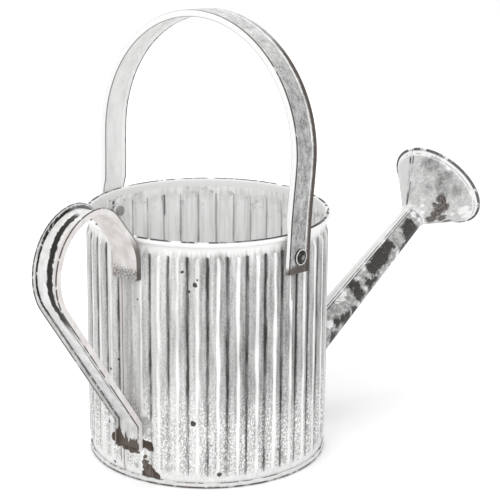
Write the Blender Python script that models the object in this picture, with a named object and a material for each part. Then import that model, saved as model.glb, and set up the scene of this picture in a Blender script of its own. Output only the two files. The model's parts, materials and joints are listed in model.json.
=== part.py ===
"""Galvanised garden watering can: fluted body, swinging bail, fixed rear handle, spout and rose.

Units are metres. The origin is the centre of the base on the can's axis, +Z is up,
+X points toward the spout and +Y to the left of it.
"""

import math

import bmesh
import bpy
from mathutils import Matrix, Vector

# Sheets and clearances
SHEET = 0.0007
STRAP_SHEET = 0.0012
GAP = 0.0003

# Body
WALL_RADIUS = 0.0979
FLUTE_RISE = 0.0021
FLUTE_DIP = 0.0003
FLUTE_COUNT = 36
FLUTE_PITCH = 9.28
FIRST_GROOVE = -165.0
LAP_STEP = 0.0006
WALL_BOTTOM = 0.0012
FADE_LOW = (0.0060, 0.0130)
FADE_HIGH = (0.1880, 0.1970)
CURL_INNER = 0.0016
CURL_HEIGHT = 0.2046
CURL_STEPS = 6
CURL_TURN = 292.0
WIRE_RADIUS = 0.0011

# Base: a flat floor with a hem that stands round the foot of the wall
FLOOR_THICKNESS = 0.0009
HEM_THICKNESS = 0.0009
HEM_CLEARANCE = 0.0004
HEM_TOP = 0.0045
FLOOR_BEVEL = 0.0004

# Bail
PIVOT_X = -0.0080
PIVOT_Z = 0.1885
BAIL_LEAN = 3.5
BAIL_WIDTH = 0.0250
BAIL_FOOT = 0.1059
BAIL_RADIUS = 0.1077
BAIL_ARC_RISE = 0.0750
BAIL_FOOT_DROP = 0.0135
BAIL_ARC_STEPS = 36
LOW_FLANGE = 0.0036
HIGH_FLANGE = 0.0055

# Rivets and washers
SHANK_RADIUS = 0.0025
RIVET_HEAD_RADIUS = 0.0052
RIVET_HEAD_RISE = 0.0024
RIVET_TAIL_RADIUS = 0.0042
RIVET_TAIL_DEPTH = 0.0015
CUP_RADIUS = 0.0064
CUP_LIP = 0.0007
CUP_BASE = 0.0007
CUP_RISE = 0.0019
INNER_WASHER_RADIUS = 0.0065
INNER_WASHER_FACE = 0.0957
INNER_WASHER_DEPTH = 0.0009

# Rear handle
HANDLE_TURN = 4.2
HANDLE_WIDTH = 0.0250
HANDLE_FLANGE = 0.0050
HANDLE_FOOT = (-0.1046, 0.1720)
HANDLE_HEADING = 90.0
# Straights are (length,) and bends (radius, degrees to the left of travel, steps)
HANDLE_ROUTE = (
    (0.0140,),
    (0.0327, 40.0, 4),
    (0.0258,),
    (0.0250, 50.0, 5),
    (0.0437, 125.7, 16),
    (0.1406,),
    (0.0060, -35.7, 3),
    (0.0208,),
)

# Spout and rose, measured along their common axis
SPOUT_START = (0.0980, 0.0, 0.0312)
SPOUT_TILT = 29.8
SPOUT_LENGTH = 0.2180
SPOUT_BASE_RADIUS = 0.0167
SPOUT_TIP_RADIUS = 0.0113
SPOUT_TRIM_X = 0.0935
NECK_RADIUS = 0.0103
NECK_START = 0.2090
FLARE_START = 0.2195
MOUTH_AT = 0.2645
MOUTH_RADIUS = 0.0459
MOUTH_CURL = 0.0009
FACE_SETBACK = 0.0016
HOLE_RADIUS = 0.00125
HOLE_RINGS = ((0, 1), (0.0135, 6), (0.0250, 12), (0.0360, 18))
SOLDER_RISE = 0.0014

WALL_SEGMENTS_PER_FLUTE = 4
ROUND_SEGMENTS = 40


def clear_scene():
    for scene_object in list(bpy.data.objects):
        bpy.data.objects.remove(scene_object)


def painted_metal(name, colour, roughness):
    material = bpy.data.materials.new(name)
    material.use_nodes = True
    shader = material.node_tree.nodes["Principled BSDF"]
    shader.inputs["Base Color"].default_value = (*colour, 1.0)
    shader.inputs["Metallic"].default_value = 0.35
    shader.inputs["Roughness"].default_value = roughness
    return material


def add_object(name, mesh_data, colour, roughness=0.6):
    """Link the finished bmesh as one named object with its own material."""
    bmesh.ops.recalc_face_normals(mesh_data, faces=mesh_data.faces)
    mesh = bpy.data.meshes.new(name)
    mesh_data.to_mesh(mesh)
    mesh_data.free()
    made = bpy.data.objects.new(name, mesh)
    mesh.materials.append(painted_metal(name + "_paint", colour, roughness))
    bpy.context.scene.collection.objects.link(made)
    return made


def add_cutter(name, mesh_data):
    cutter = add_object(name, mesh_data, (1.0, 0.2, 0.1))
    cutter.hide_render = True
    cutter.display_type = "WIRE"
    return cutter


def cut(target, cutter):
    modifier = target.modifiers.new("Cut " + cutter.name, "BOOLEAN")
    modifier.operation = "DIFFERENCE"
    modifier.solver = "EXACT"
    modifier.object = cutter


def along_y(centre_x, centre_z, side):
    """Lathe frame whose axis runs along +Y or -Y through the pivot height."""
    turn = Matrix.Rotation(math.radians(-90 * side), 4, "X")
    return Matrix.Translation((centre_x, 0, centre_z)) @ turn


def along_spout():
    turn = Matrix.Rotation(math.radians(90 - SPOUT_TILT), 4, "Y")
    return Matrix.Translation(SPOUT_START) @ turn


def lathe(profile, segments, frame=None):
    """Turn a closed outline of (radius, height) points round the frame's axis."""
    mesh_data = bmesh.new()
    points = [mesh_data.verts.new((radius, 0, height)) for radius, height in profile]
    on_axis = profile[0][0] == 0 and profile[-1][0] == 0
    pairs = list(zip(points, points[1:]))
    if not on_axis:
        pairs.append((points[-1], points[0]))
    edges = [mesh_data.edges.new(pair) for pair in pairs]
    bmesh.ops.spin(
        mesh_data,
        geom=points + edges,
        cent=(0, 0, 0),
        axis=(0, 0, 1),
        angle=math.tau,
        steps=segments,
        use_merge=True,
    )
    bmesh.ops.remove_doubles(mesh_data, verts=mesh_data.verts, dist=1e-6)
    if frame:
        bmesh.ops.transform(mesh_data, matrix=frame, verts=mesh_data.verts)
    return mesh_data


def arc(centre, radius, start, end, steps):
    """Points of a circle in a plane, angles in degrees."""
    points = []
    for step in range(steps + 1):
        angle = math.radians(start + (end - start) * step / steps)
        points.append((centre[0] + radius * math.cos(angle), centre[1] + radius * math.sin(angle)))
    return points


def directions(path):
    """Unit travel direction at each point of an open path in a plane."""
    found = []
    for index in range(len(path)):
        before = Vector(path[max(index - 1, 0)])
        after = Vector(path[min(index + 1, len(path) - 1)])
        found.append((after - before).normalized())
    return found


def thicken(path, thickness):
    """Closed outline of a sheet: the path, then its copy offset to the left of travel."""
    offset = []
    for point, travel in zip(path, directions(path)):
        offset.append((point[0] - travel.y * thickness, point[1] + travel.x * thickness))
    return path + offset[::-1]


def channel_section(half_width, depth):
    """U outline as (across, inward) points; the web's outer face is at inward = 0."""
    sheet = STRAP_SHEET
    return [
        (-half_width, 0),
        (half_width, 0),
        (half_width, depth),
        (half_width - sheet, depth),
        (half_width - sheet, sheet),
        (-half_width + sheet, sheet),
        (-half_width + sheet, depth),
        (-half_width, depth),
    ]


def sweep(sections):
    """Skin rings of equal length with quads and cap both ends."""
    mesh_data = bmesh.new()
    rings = [[mesh_data.verts.new(point) for point in section] for section in sections]
    size = len(rings[0])
    for ring, following in zip(rings, rings[1:]):
        for index in range(size):
            after = (index + 1) % size
            mesh_data.faces.new((ring[index], ring[after], following[after], following[index]))
    mesh_data.faces.new(rings[0])
    mesh_data.faces.new(rings[-1])
    return mesh_data


def flute_columns():
    """(angle, rise, lap) for every column of the body wall, once round."""
    columns = []
    for flute in range(FLUTE_COUNT):
        start = FIRST_GROOVE + flute * FLUTE_PITCH
        for step in range(WALL_SEGMENTS_PER_FLUTE):
            phase = step / WALL_SEGMENTS_PER_FLUTE
            wave = math.sin(math.pi * phase)
            rise = wave * (FLUTE_RISE + FLUTE_DIP) - FLUTE_DIP
            columns.append((start + phase * FLUTE_PITCH, rise, 0))
    last_groove = FIRST_GROOVE + FLUTE_COUNT * FLUTE_PITCH
    columns.append((last_groove, -FLUTE_DIP, 0))
    columns.append((last_groove + 4.6, FLUTE_RISE, 0))
    columns.append((last_groove + 9.3, 0, 0))
    columns.append((last_groove + 9.9, 0, LAP_STEP))
    columns.append((last_groove + 19.0, 0, LAP_STEP))
    columns.append((last_groove + 19.6, 0, 0))
    columns.append((last_groove + 22.3, FLUTE_RISE, 0))
    return columns


def wall_rows():
    """(radius, height, share of the flutes) for every row of the wall and its rolled rim."""
    rows = [
        (WALL_RADIUS, WALL_BOTTOM, 0),
        (WALL_RADIUS, FADE_LOW[0], 0),
        (WALL_RADIUS, FADE_LOW[1], 1),
        (WALL_RADIUS, FADE_HIGH[0], 1),
        (WALL_RADIUS, FADE_HIGH[1], 0),
    ]
    centre = (WALL_RADIUS + CURL_INNER, CURL_HEIGHT)
    for radius, height in arc(centre, CURL_INNER, 180, 180 - CURL_TURN, CURL_STEPS):
        rows.append((radius, height, 0))
    return rows


def build_wall(cutters):
    """Fluted cylinder with its top edge rolled outward, open at both ends."""
    mesh_data = bmesh.new()
    grid = []
    for radius, height, share in wall_rows():
        row = []
        for angle, rise, lap in flute_columns():
            reach = radius + rise * share + lap * share
            turn = math.radians(angle)
            row.append(mesh_data.verts.new((reach * math.cos(turn), reach * math.sin(turn), height)))
        grid.append(row)
    for low, high in zip(grid, grid[1:]):
        for index in range(len(low)):
            after = (index + 1) % len(low)
            mesh_data.faces.new((low[index], low[after], high[after], high[index]))
    mesh = bpy.data.meshes.new("body_wall")
    mesh_data.to_mesh(mesh)
    mesh_data.free()
    wall = bpy.data.objects.new("body_wall", mesh)
    mesh.materials.append(painted_metal("body_wall_paint", (0.80, 0.80, 0.79), 0.55))
    bpy.context.scene.collection.objects.link(wall)
    solidify = wall.modifiers.new("Sheet", "SOLIDIFY")
    solidify.thickness = SHEET
    solidify.offset = -1
    solidify.use_even_offset = True
    for cutter in cutters:
        cut(wall, cutter)


def build_rim_wire():
    centre = WALL_RADIUS + CURL_INNER
    ring = arc((centre, CURL_HEIGHT), WIRE_RADIUS, 0, 315, 7)
    add_object("rim_wire", lathe(ring, 64), (0.35, 0.33, 0.31))


def build_base():
    """Flat floor, and the hem ring just above its edge, outside the foot of the wall."""
    inside = WALL_RADIUS + HEM_CLEARANCE
    outside = inside + HEM_THICKNESS
    floor = [
        (0, 0),
        (outside - FLOOR_BEVEL, 0),
        (outside, FLOOR_BEVEL),
        (outside, FLOOR_THICKNESS),
        (0, FLOOR_THICKNESS),
    ]
    add_object("base_floor", lathe(floor, 96), (0.74, 0.74, 0.73))
    low = FLOOR_THICKNESS + GAP
    hem = [(inside, low), (outside, low), (outside, HEM_TOP), (inside, HEM_TOP)]
    add_object("base_hem", lathe(hem, 96), (0.74, 0.74, 0.73))


def bail_path():
    """(y, height above the pivot, flange depth) along the outer face of the bail."""
    leg = [
        (BAIL_FOOT, -BAIL_FOOT_DROP, LOW_FLANGE),
        (BAIL_FOOT, 0.0200, LOW_FLANGE),
        (BAIL_FOOT + 0.0002, 0.0350, HIGH_FLANGE),
        (BAIL_FOOT + 0.0010, 0.0550, HIGH_FLANGE),
    ]
    crown = arc((0, BAIL_ARC_RISE), BAIL_RADIUS, 0, 180, BAIL_ARC_STEPS)
    path = [(y, rise, HIGH_FLANGE) for y, rise in crown]
    other_leg = [(-y, rise, depth) for y, rise, depth in reversed(leg)]
    return leg + path + other_leg


def build_bail(cutter):
    """Channel strap bent to an arch, leaning a little forward as it stands at rest."""
    path = bail_path()
    travel = directions([(y, rise) for y, rise, _ in path])
    lean = Matrix.Rotation(math.radians(BAIL_LEAN), 4, "Y")
    place = Matrix.Translation((PIVOT_X, 0, PIVOT_Z)) @ lean
    sections = []
    for (y, rise, depth), heading in zip(path, travel):
        inward = Vector((-heading.y, heading.x))
        ring = []
        for across, deep in channel_section(BAIL_WIDTH / 2, depth):
            ring.append(place @ Vector((across, y + inward.x * deep, rise + inward.y * deep)))
        sections.append(ring)
    strap = add_object("bail_strap", sweep(sections), (0.72, 0.72, 0.71))
    cut(strap, cutter)
    # The origin sits on the hinge axis; the mesh is moved back by the same amount.
    strap.location = (PIVOT_X, 0, PIVOT_Z)
    strap.data.transform(Matrix.Translation((-PIVOT_X, 0, -PIVOT_Z)))


def build_rivet_set(side, word):
    """One rivet with the cup washer outside the bail and the flat washer inside the wall."""
    frame = along_y(PIVOT_X, PIVOT_Z, side)
    hole = SHANK_RADIUS + GAP
    cup_face = BAIL_FOOT + GAP
    cup = [
        (hole, cup_face),
        (CUP_RADIUS, cup_face),
        (CUP_RADIUS, cup_face + CUP_RISE),
        (CUP_RADIUS - CUP_LIP, cup_face + CUP_RISE),
        (CUP_RADIUS - CUP_LIP, cup_face + CUP_BASE),
        (hole, cup_face + CUP_BASE),
    ]
    add_object("cup_washer_" + word, lathe(cup, 24, frame), (0.62, 0.62, 0.60))

    washer = [
        (hole, INNER_WASHER_FACE - INNER_WASHER_DEPTH),
        (INNER_WASHER_RADIUS, INNER_WASHER_FACE - INNER_WASHER_DEPTH),
        (INNER_WASHER_RADIUS, INNER_WASHER_FACE),
        (hole, INNER_WASHER_FACE),
    ]
    add_object("inner_washer_" + word, lathe(washer, 24, frame), (0.62, 0.62, 0.60))

    tail_face = INNER_WASHER_FACE - INNER_WASHER_DEPTH - GAP
    head_face = cup_face + CUP_BASE + GAP
    dome = []
    for step in range(1, 4):
        angle = math.radians(90 * step / 4)
        dome.append((RIVET_HEAD_RADIUS * math.cos(angle), head_face + RIVET_HEAD_RISE * math.sin(angle)))
    rivet = [
        (0, tail_face - RIVET_TAIL_DEPTH),
        (RIVET_TAIL_RADIUS, tail_face - RIVET_TAIL_DEPTH),
        (RIVET_TAIL_RADIUS, tail_face),
        (SHANK_RADIUS, tail_face),
        (SHANK_RADIUS, head_face),
        (RIVET_HEAD_RADIUS, head_face),
        *dome,
        (0, head_face + RIVET_HEAD_RISE),
    ]
    add_object("bail_rivet_" + word, lathe(rivet, 24, frame), (0.45, 0.44, 0.43))


def handle_path():
    """(x, z) along the middle of the rear handle's web, from the top tab down to the low one."""
    point = Vector(HANDLE_FOOT)
    heading = HANDLE_HEADING
    path = [tuple(point)]
    for size, *turn in HANDLE_ROUTE:
        travel = Vector((math.cos(math.radians(heading)), math.sin(math.radians(heading))))
        if turn:
            degrees, steps = turn
            side = math.copysign(1, degrees)
            centre = point + Vector((-travel.y, travel.x)) * size * side
            start = heading - 90 * side
            path.extend(arc(centre, size, start, start + degrees, steps)[1:])
            heading += degrees
        else:
            path.append(tuple(point + travel * size))
        point = Vector(path[-1])
    return path


def build_rear_handle():
    """Channel strap whose flanges stand on the outer side of the loop."""
    path = handle_path()
    turn = Matrix.Rotation(math.radians(HANDLE_TURN), 4, "Z")
    sections = []
    for (x, z), heading in zip(path, directions(path)):
        outward = Vector((heading.y, -heading.x))
        ring = []
        for across, deep in channel_section(HANDLE_WIDTH / 2, HANDLE_FLANGE + STRAP_SHEET / 2):
            reach = deep - STRAP_SHEET / 2
            ring.append(turn @ Vector((x + outward.x * reach, across, z + outward.y * reach)))
        sections.append(ring)
    add_object("rear_handle", sweep(sections), (0.70, 0.69, 0.68))


def spout_radius(distance):
    share = distance / SPOUT_LENGTH
    return SPOUT_BASE_RADIUS + (SPOUT_TIP_RADIUS - SPOUT_BASE_RADIUS) * share


def build_spout():
    """Tapered tube, open at both ends, trimmed upright just inside the wall."""
    start = -0.025
    profile = [
        (spout_radius(start) - SHEET, start),
        (spout_radius(start), start),
        (spout_radius(SPOUT_LENGTH), SPOUT_LENGTH),
        (spout_radius(SPOUT_LENGTH) - SHEET, SPOUT_LENGTH),
    ]
    tube = add_object("spout_tube", lathe(profile, ROUND_SEGMENTS, along_spout()), (0.55, 0.55, 0.54))
    trim = bmesh.new()
    bmesh.ops.create_cube(trim, size=0.08)
    bmesh.ops.translate(trim, verts=trim.verts, vec=(SPOUT_TRIM_X - 0.04, 0, SPOUT_START[2]))
    cut(tube, add_cutter("spout_trim", trim))


def spout_hole_cutter():
    near = -0.020
    far = 0.025
    profile = [
        (0, near),
        (spout_radius(near) + GAP, near),
        (spout_radius(far) + GAP, far),
        (0, far),
    ]
    return add_cutter("spout_hole", lathe(profile, ROUND_SEGMENTS, along_spout()))


def rivet_hole_cutter():
    radius = SHANK_RADIUS + GAP
    profile = [(0, -0.12), (radius, -0.12), (radius, 0.12), (0, 0.12)]
    return add_cutter("rivet_hole", lathe(profile, 24, along_y(PIVOT_X, PIVOT_Z, 1)))


def mouth_curl():
    """Rolled edge of the rose; its first point is where the flare ends."""
    return arc((MOUTH_RADIUS, MOUTH_AT), MOUTH_CURL, 140, -110, 5)


def flare_slope():
    end_radius, end_at = mouth_curl()[0]
    return (end_radius - NECK_RADIUS) / (end_at - FLARE_START)


def build_rose_cone():
    """Flared cone with a neck inside the spout's tip and its wide edge rolled outward."""
    curl = mouth_curl()
    path = [(NECK_RADIUS, NECK_START), (NECK_RADIUS, FLARE_START), *curl]
    add_object("rose_cone", lathe(thicken(path, SHEET), ROUND_SEGMENTS, along_spout()), (0.66, 0.66, 0.65))


def build_neck_solder():
    """Ring of solder in the corner between the spout's tip and the cone."""
    low = SPOUT_LENGTH + GAP
    inner = NECK_RADIUS + GAP
    profile = [
        (inner, low),
        (SPOUT_TIP_RADIUS + SOLDER_RISE / 2, low),
        (SPOUT_TIP_RADIUS + SOLDER_RISE, low + SOLDER_RISE),
        (inner, low + SOLDER_RISE / (1 + flare_slope())),
    ]
    add_object("neck_solder", lathe(profile, ROUND_SEGMENTS, along_spout()), (0.78, 0.78, 0.77))


def build_rose_face():
    """Perforated plate across the mouth of the rose."""
    back = MOUTH_AT - FACE_SETBACK
    wall_depth = SHEET * math.hypot(1, flare_slope())
    radius = NECK_RADIUS + (back - FLARE_START) * flare_slope() - wall_depth - GAP
    profile = [(0, back), (radius, back), (radius, back + SHEET), (0, back + SHEET)]
    face = add_object("rose_face", lathe(profile, ROUND_SEGMENTS, along_spout()), (0.68, 0.68, 0.67))
    holes = bmesh.new()
    for ring_radius, count in HOLE_RINGS:
        for index in range(count):
            angle = math.tau * index / count
            spot = Vector((ring_radius * math.cos(angle), ring_radius * math.sin(angle), back))
            bmesh.ops.create_cone(
                holes,
                cap_ends=True,
                segments=8,
                radius1=HOLE_RADIUS,
                radius2=HOLE_RADIUS,
                depth=0.004,
                matrix=along_spout() @ Matrix.Translation(spot),
            )
    cut(face, add_cutter("rose_holes", holes))


clear_scene()
rivet_holes = rivet_hole_cutter()
build_wall([rivet_holes, spout_hole_cutter()])
build_rim_wire()
build_base()
build_bail(rivet_holes)
for side, word in ((-1, "right"), (1, "left")):
    build_rivet_set(side, word)
build_rear_handle()
build_spout()
build_neck_solder()
build_rose_cone()
build_rose_face()
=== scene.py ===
import json
import math

import bmesh
import bpy
from mathutils import Matrix, Vector


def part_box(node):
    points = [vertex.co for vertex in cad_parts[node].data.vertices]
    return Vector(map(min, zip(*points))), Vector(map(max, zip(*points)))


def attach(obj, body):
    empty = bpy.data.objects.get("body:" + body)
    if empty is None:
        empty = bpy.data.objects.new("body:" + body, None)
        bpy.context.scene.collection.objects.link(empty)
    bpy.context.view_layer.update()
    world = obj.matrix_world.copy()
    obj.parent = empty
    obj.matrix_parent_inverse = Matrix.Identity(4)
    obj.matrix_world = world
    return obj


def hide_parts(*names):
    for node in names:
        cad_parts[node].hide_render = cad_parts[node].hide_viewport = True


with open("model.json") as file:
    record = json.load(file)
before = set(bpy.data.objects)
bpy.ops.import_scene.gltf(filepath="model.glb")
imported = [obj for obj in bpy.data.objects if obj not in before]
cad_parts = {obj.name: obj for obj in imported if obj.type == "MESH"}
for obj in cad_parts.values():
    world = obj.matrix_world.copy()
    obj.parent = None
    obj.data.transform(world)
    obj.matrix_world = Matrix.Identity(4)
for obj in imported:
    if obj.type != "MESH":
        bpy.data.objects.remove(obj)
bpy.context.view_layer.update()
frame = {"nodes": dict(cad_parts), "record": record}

# what several pieces share, mostly read from the frame
swing = next(joint for joint in frame["record"]["behaviour"]["joints"] if joint["name"] == "bail_swing")
pivot = Vector(swing["pos_m"])
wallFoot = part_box("body_wall")[0][2]
hemCorner = Vector(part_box("base_hem")[1])
rivetHole = 0.0028

# spout and rose share one axis: in this frame +Z runs out along the spout
spoutLine = {"start": (0.0980, 0.0, 0.0312), "tilt": 29.8}
spoutFrame = Matrix.Translation(spoutLine["start"]) @ Matrix.Rotation(
    math.radians(90 - spoutLine["tilt"]), 4, "Y"
)
print("frame read, bail turns at", tuple(round(value, 4) for value in pivot))


# modelling helpers

def letGo():
    if bpy.context.object and bpy.context.object.mode != "OBJECT":
        bpy.ops.object.mode_set(mode="OBJECT")
    bpy.ops.object.select_all(action="DESELECT")


def edit(piece, kind="VERT"):
    # opens a piece with everything in it selected
    letGo()
    piece.select_set(True)
    bpy.context.view_layer.objects.active = piece
    bpy.ops.object.mode_set(mode="EDIT")
    bpy.ops.mesh.select_mode(type=kind)
    bpy.ops.mesh.select_all(action="SELECT")


def leave():
    bpy.ops.object.mode_set(mode="OBJECT")


def pick(rule, kind="VERT"):
    # selects what passes the rule, which gets the middle of each point or face and the element
    bpy.ops.mesh.select_mode(type=kind)
    bpy.ops.mesh.select_all(action="DESELECT")
    shape = bmesh.from_edit_mesh(bpy.context.object.data)
    for part in shape.verts if kind == "VERT" else shape.faces:
        middle = part.co if kind == "VERT" else part.calc_center_median()
        part.select_set(bool(rule(middle, part)))
    shape.select_flush_mode()
    bmesh.update_edit_mesh(bpy.context.object.data)


def push(x=0.0, z=0.0):
    bpy.ops.mesh.extrude_region_move(TRANSFORM_OT_translate={"value": (x, 0, z)})


def scaleRound(factor):
    bpy.ops.transform.resize(value=(factor, factor, 1), center_override=(0, 0, 0))


def drawRings(reached, rings):
    # draws a ring of (radius, height) on through the next ones
    for ring in rings:
        push(z=ring[1] - reached[1])
        scaleRound(ring[0] / reached[0])
        reached = ring


def drawPath(points):
    for before, after in zip(points, points[1:]):
        push(x=after[0] - before[0], z=after[1] - before[1])


def tidyNormals():
    bpy.ops.mesh.select_all(action="SELECT")
    bpy.ops.mesh.remove_doubles(threshold=0.00001)
    bpy.ops.mesh.normals_make_consistent(inside=False)


def useModifier(piece, kind, **settings):
    bpy.context.view_layer.objects.active = piece
    modifier = piece.modifiers.new(kind.title(), kind)
    for key, value in settings.items():
        setattr(modifier, key, value)
    bpy.ops.object.modifier_apply(modifier=modifier.name)


def softEdges(piece, width, angle):
    limit = {"limit_method": "ANGLE", "angle_limit": math.radians(angle)}
    useModifier(piece, "BEVEL", width=width, segments=3, **limit)


def thicken(piece, sheet, offset=-1, faces=1):
    # a sheet with two faces takes a second material on the inner one
    if faces == 2:
        piece.data.materials.append(None)
        piece.data.materials.append(None)
    settings = {"offset": offset, "use_even_offset": True, "material_offset": faces - 1}
    useModifier(piece, "SOLIDIFY", thickness=sheet, **settings)


def cut(piece, cutter):
    useModifier(piece, "BOOLEAN", operation="DIFFERENCE", object=cutter)
    bpy.data.objects.remove(cutter)


def settle(piece, name, move=None, smooth=40):
    # puts the move into the mesh, so that the object itself stands at the origin
    letGo()
    piece.name = name
    piece.data.name = name
    bpy.context.view_layer.objects.active = piece
    piece.select_set(True)
    if move is not None:
        piece.matrix_world = move @ piece.matrix_world
    bpy.ops.object.transform_apply(location=True, rotation=True, scale=True)
    bpy.ops.object.shade_smooth_by_angle(angle=math.radians(smooth))
    piece.select_set(False)
    return piece


def turned(outline, steps, bevel=0.0):
    # an outline of (radius, height) points spun round Z; it starts as one corner of a small plane
    letGo()
    bpy.ops.mesh.primitive_plane_add(size=0.001, location=(0, 0, 0))
    piece = bpy.context.object
    edit(piece)
    pick(lambda at, part: at.x > 0 or at.y > 0)
    bpy.ops.mesh.delete(type="VERT")
    bpy.ops.mesh.select_all(action="SELECT")
    bpy.ops.transform.translate(value=(outline[0][0] + 0.0005, 0.0005, outline[0][1]))
    drawPath(outline)
    if outline[0][0] > 0:
        pick(lambda at, part: len(part.link_edges) == 1)
        bpy.ops.mesh.edge_face_add()
    bpy.ops.mesh.select_all(action="SELECT")
    bpy.ops.mesh.spin(steps=steps, angle=math.tau, center=(0, 0, 0), axis=(0, 0, 1))
    tidyNormals()
    leave()
    if bevel:
        softEdges(piece, bevel, 35)
    return piece


def arcPoints(centre, radius, start, end, steps):
    angles = [math.radians(start + (end - start) * n / steps) for n in range(steps + 1)]
    return [(centre[0] + radius * math.cos(a), centre[1] + radius * math.sin(a)) for a in angles]


def note(piece, name, rule):
    # keeps one number for each point of the mesh, for its paint to read
    layer = piece.data.attributes.new(name, "FLOAT", "POINT")
    for vertex, value in zip(piece.data.vertices, layer.data):
        value.value = rule(vertex.co)


def rivetRod(name, turn, move=None):
    # a rod through the whole can, which cuts the holes for both rivets
    letGo()
    bpy.ops.mesh.primitive_cylinder_add(vertices=32, radius=rivetHole, depth=0.3, rotation=turn)
    return settle(bpy.context.object, name, move)


def place(piece, body, *nodes):
    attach(piece, body)
    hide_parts(*nodes)
    return piece


# paint helpers

class Tone:
    # a socket that takes part in sums
    def __init__(self, finish, socket):
        self.finish = finish
        self.socket = socket

    def work(self, operation, first, second):
        node = self.finish.make("ShaderNodeMath", {"operation": operation}, {0: first, 1: second})
        return Tone(self.finish, node.outputs[0])

    def __add__(self, other):
        return self.work("ADD", self, other)

    def __radd__(self, other):
        return self.work("ADD", other, self)

    def __sub__(self, other):
        return self.work("SUBTRACT", self, other)

    def __rsub__(self, other):
        return self.work("SUBTRACT", other, self)

    def __mul__(self, other):
        return self.work("MULTIPLY", self, other)

    def __rmul__(self, other):
        return self.work("MULTIPLY", other, self)

    def __abs__(self):
        return self.work("ABSOLUTE", self, 0.0)

    def over(self, other):
        return self.work("MAXIMUM", self, other)

    def under(self, other):
        return self.work("MINIMUM", self, other)

    def sway(self, width):
        # a cloud's swing about its middle, made as wide as asked
        return (self - 0.5) * width

    def root(self):
        return self.work("POWER", self, 0.5)

    def between(self, low, high):
        # 0 at low and 1 at high, eased, also where high is the smaller
        limits = {"Value": self, "From Min": low, "From Max": high}
        node = self.finish.make("ShaderNodeMapRange", {"interpolation_type": "SMOOTHSTEP"}, limits)
        return Tone(self.finish, node.outputs[0])


class Finish:
    # a material; its colour starts as a ground and takes further layers over it
    def __init__(self, name, roughness=0.5, metallic=0.0):
        self.material = bpy.data.materials.new(name)
        self.material.use_nodes = True
        self.tree = self.material.node_tree
        self.shader = self.tree.nodes["Principled BSDF"]
        self.gloss(roughness)
        self.feed(self.shader.inputs["Metallic"], metallic)
        self.feed(self.shader.inputs["Specular IOR Level"], 0.12)
        self.spot = self.make("ShaderNodeTexCoord").outputs["Object"]
        parts = self.make("ShaderNodeSeparateXYZ", {}, {"Vector": self.spot})
        self.x, self.y, self.z = (Tone(self, parts.outputs[n]) for n in range(3))

    def make(self, kind, settings=None, inputs=None):
        node = self.tree.nodes.new(kind)
        for key, value in (settings or {}).items():
            setattr(node, key, value)
        for key, value in (inputs or {}).items():
            self.feed(node.inputs[key], value)
        return node

    def feed(self, socket, value):
        if isinstance(value, Tone):
            self.tree.links.new(value.socket, socket)
        elif isinstance(value, bpy.types.NodeSocket):
            self.tree.links.new(value, socket)
        else:
            socket.default_value = value

    def cloud(self, size, shift=0.0, detail=4, tall=1.0, rough=0.55):
        # noise with grains of a size in metres, which can be made taller
        scale = (1 / size, 1 / size, 1 / (size * tall))
        inputs = {"Vector": self.spot, "Scale": scale, "Location": (shift, shift * 1.7, shift * 0.6)}
        spot = self.make("ShaderNodeMapping", {}, inputs).outputs[0]
        inputs = {"Vector": spot, "Scale": 1.0, "Detail": detail, "Roughness": rough}
        return Tone(self, self.make("ShaderNodeTexNoise", {}, inputs).outputs[0])

    def attribute(self, name):
        return Tone(self, self.make("ShaderNodeAttribute", {"attribute_name": name}).outputs["Fac"])

    def away(self, spot):
        # how far the surface is from a spot, in metres
        node = self.make("ShaderNodeVectorMath", {"operation": "DISTANCE"}, {0: self.spot, 1: tuple(spot)})
        return Tone(self, node.outputs["Value"])

    def mix(self, share, low, high):
        # low and high are names of tones, or colours mixed before
        shades = [(*tones[shade], 1.0) if isinstance(shade, str) else shade for shade in (low, high)]
        inputs = {0: share, 6: shades[0], 7: shades[1]}
        return self.make("ShaderNodeMix", {"data_type": "RGBA"}, inputs).outputs[2]

    def ground(self, share, low, high):
        self.shade = self.mix(share, low, high)
        self.feed(self.shader.inputs["Base Color"], self.shade)

    def layer(self, share, shade):
        self.ground(share, self.shade, shade)

    def gloss(self, roughness):
        self.feed(self.shader.inputs["Roughness"], roughness)

    def relief(self, height, strength=0.3, distance=0.0006):
        inputs = {"Height": height, "Strength": strength, "Distance": distance}
        self.feed(self.shader.inputs["Normal"], self.make("ShaderNodeBump", {}, inputs).outputs[0])

    def coat(self, piece, number=0):
        while len(piece.data.materials) <= number:
            piece.data.materials.append(None)
        piece.data.materials[number] = self.material


tones = {
    "paper": (0.97, 0.97, 0.97),
    "palePaper": (0.9894, 0.9894, 0.9894),
    "white": (0.81, 0.81, 0.805),
    "wash": (0.43, 0.43, 0.428),
    "zinc": (0.155, 0.155, 0.153),
    "dark": (0.024, 0.022, 0.020),
    # a white brighter than the outer white: painted light on the insides of the can and the bail, where
    # less light reaches
    "paintedLightWhite": (0.93, 0.93, 0.925),
    "soot": (0.048, 0.046, 0.044),
    "rust": (0.062, 0.049, 0.041),
    "clay": (0.150, 0.125, 0.110),
    "blush": (0.60, 0.56, 0.54),
}

# body wall: a ring of points drawn up row by row, fluted, rolled over at the top

wallShape = {
    "radius": 0.0979,
    "rise": 0.0021,
    "dip": 0.0003,
    "flutes": 36,
    "stepsPerFlute": 12,
    "stepsRound": 468,
    "firstGroove": -165.0,
    "fadeLow": (0.0060, 0.0140),
    "fadeHigh": (0.1870, 0.1975),
    "rows": (0.045, 0.080, 0.115, 0.150),
    "lapSteps": (12, 26, 36),
    "curlInner": 0.0016,
    "curlHeight": 0.2046,
    "curlSteps": 12,
    "curlTurn": 292,
    "sheet": 0.0007,
    "lap": 0.0006,
    "plainMark": 0.62,
}
lastGroove = wallShape["flutes"] * wallShape["stepsPerFlute"]


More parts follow.
